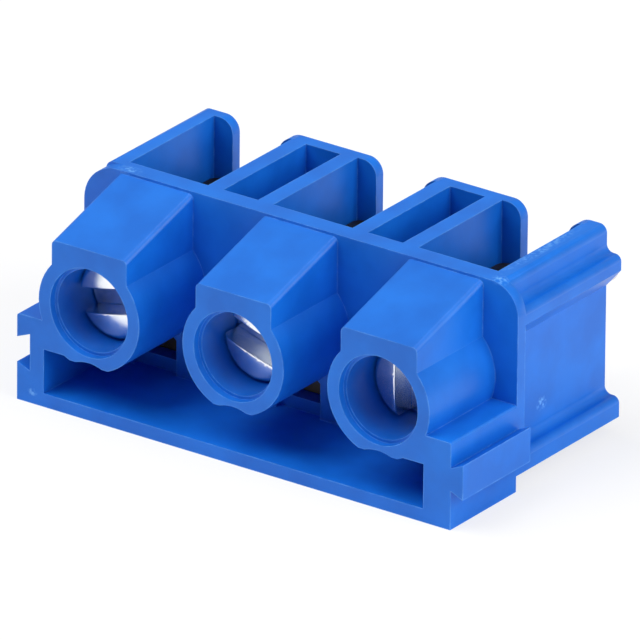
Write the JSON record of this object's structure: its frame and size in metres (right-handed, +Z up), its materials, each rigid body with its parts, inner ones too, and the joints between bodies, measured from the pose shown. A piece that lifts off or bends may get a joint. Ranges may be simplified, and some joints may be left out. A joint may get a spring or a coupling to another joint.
{
  "type": "pcb screw terminal",
  "caption": "Board-mount screw terminal with open wire troughs, recessed slotted clamp screws in round barrels, round solder pins behind, and dovetail ends for joining blocks in a row.",
  "frame": {"origin": "middle solder pin's axis where it meets the board-side plane of the housing", "axes": "+X along the row of poles towards the dovetail rail, +Y towards the board along the pins, +Z up, towards the open side of the wire troughs"},
  "size_m": [0.0232, 0.0172, 0.0094],
  "materials": {
    "housing_plastic": "blue, satin, as moulded",
    "frame_metal": "dull brass",
    "tinned_metal": "tin plated, satin",
    "screw_metal": "bright plated steel",
    "pad_metal": "plain steel"
  },
  "bodies": {
    "block": {"housing": "housing_plastic", "clamp_frame_1": "frame_metal", "clamp_frame_2": "frame_metal", "clamp_frame_3": "frame_metal", "solder_pin_1": "tinned_metal", "solder_pin_2": "tinned_metal", "solder_pin_3": "tinned_metal"},
    "pad_1": {"pressure_pad_1": "pad_metal"},
    "pad_2": {"pressure_pad_2": "pad_metal"},
    "pad_3": {"pressure_pad_3": "pad_metal"},
    "screw_1": {"clamp_screw_1": "screw_metal"},
    "screw_2": {"clamp_screw_2": "screw_metal"},
    "screw_3": {"clamp_screw_3": "screw_metal"}
  },
  "joints": [
    {"name": "pad_1_slide", "type": "slide", "parent": "block", "child": "pad_1", "axis": [0, 1, 0], "range_m": [-0.0003, 0.0023]},
    {"name": "pad_2_slide", "type": "slide", "parent": "block", "child": "pad_2", "axis": [0, 1, 0], "range_m": [-0.0004, 0.0022]},
    {"name": "pad_3_slide", "type": "slide", "parent": "block", "child": "pad_3", "axis": [0, 1, 0], "range_m": [-0.00075, 0.00185]},
    {"name": "screw_1_turn", "type": "hinge", "parent": "pad_1", "child": "screw_1", "pos_m": [-0.0075, 0, 0], "axis": [0, 1, 0], "range_deg": [-240.5, 1840.5]},
    {"name": "screw_2_turn", "type": "hinge", "parent": "pad_2", "child": "screw_2", "pos_m": [0, 0, 0], "axis": [0, 1, 0], "range_deg": [-320.5, 1760.5]},
    {"name": "screw_3_turn", "type": "hinge", "parent": "pad_3", "child": "screw_3", "pos_m": [0.0075, 0, 0], "axis": [0, 1, 0], "range_deg": [-600.5, 1480.5]}
  ],
  "couplings": [
    {"joint": "screw_1_turn", "follows": "pad_1_slide", "rad_per_m": 13963},
    {"joint": "screw_2_turn", "follows": "pad_2_slide", "rad_per_m": 13963},
    {"joint": "screw_3_turn", "follows": "pad_3_slide", "rad_per_m": 13963}
  ]
}
